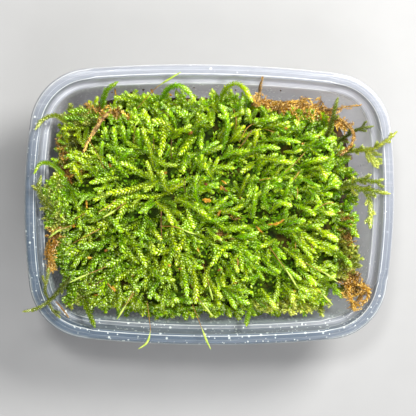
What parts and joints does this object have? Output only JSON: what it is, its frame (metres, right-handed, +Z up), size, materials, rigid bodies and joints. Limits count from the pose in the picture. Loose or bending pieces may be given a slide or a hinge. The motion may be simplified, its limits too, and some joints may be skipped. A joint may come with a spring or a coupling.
{
  "type": "moss clump",
  "caption": "Clump of wet green feather moss with spore stalks and dead brown moss, filling a clear plastic food tub with a stepped rim",
  "frame": {"origin": "the middle of the underside of the tub, on the surface it stands on", "axes": "+Z up out of the tub, +X along the tub's length to the right of the picture, +Y across it to the picture's top; the picture looks down along -Z"},
  "size_m": [0.172, 0.1313, 0.0565],
  "materials": {
    "clear_plastic": "clear, slightly milky, wet",
    "green_moss": "wet leafy, bright yellow-green",
    "brown_moss": "damp, matted, dark brown",
    "spore_stalk": "satin red-brown stalk with a pale green hood",
    "straw": "dry, matte tan"
  },
  "bodies": {
    "root": {"tub": "clear_plastic", "brown_moss_layer": "brown_moss", "brown_tuft_right": "brown_moss", "brown_tuft_left": "brown_moss", "green_moss_mat": "green_moss", "shoot_left_corner": "green_moss", "shoot_left_arch": "green_moss", "shoot_left_edge": "green_moss", "shoot_back_left_upright": "green_moss", "shoot_back_arch": "green_moss", "shoot_back_loop": "green_moss", "shoot_back_right_upright": "green_moss", "shoot_right_olive": "green_moss", "shoot_right_over_rim": "green_moss", "shoot_right_fork": "green_moss", "shoot_front_left_over_rim": "green_moss", "shoot_front_left_short": "green_moss", "shoot_front_middle": "green_moss", "spore_stalk_01": "spore_stalk", "spore_stalk_02": "spore_stalk", "spore_stalk_03": "spore_stalk", "spore_stalk_04": "spore_stalk", "spore_stalk_05": "spore_stalk", "spore_stalk_06": "spore_stalk", "spore_stalk_07": "spore_stalk", "spore_stalk_08": "spore_stalk", "spore_stalk_09": "spore_stalk", "spore_stalk_10": "spore_stalk", "spore_stalk_11": "spore_stalk", "spore_stalk_12": "spore_stalk", "dry_stem_left": "straw", "dead_stem_right": "straw", "dead_stem_back": "straw", "dead_stem_curl": "straw"}
  },
  "joints": []
}
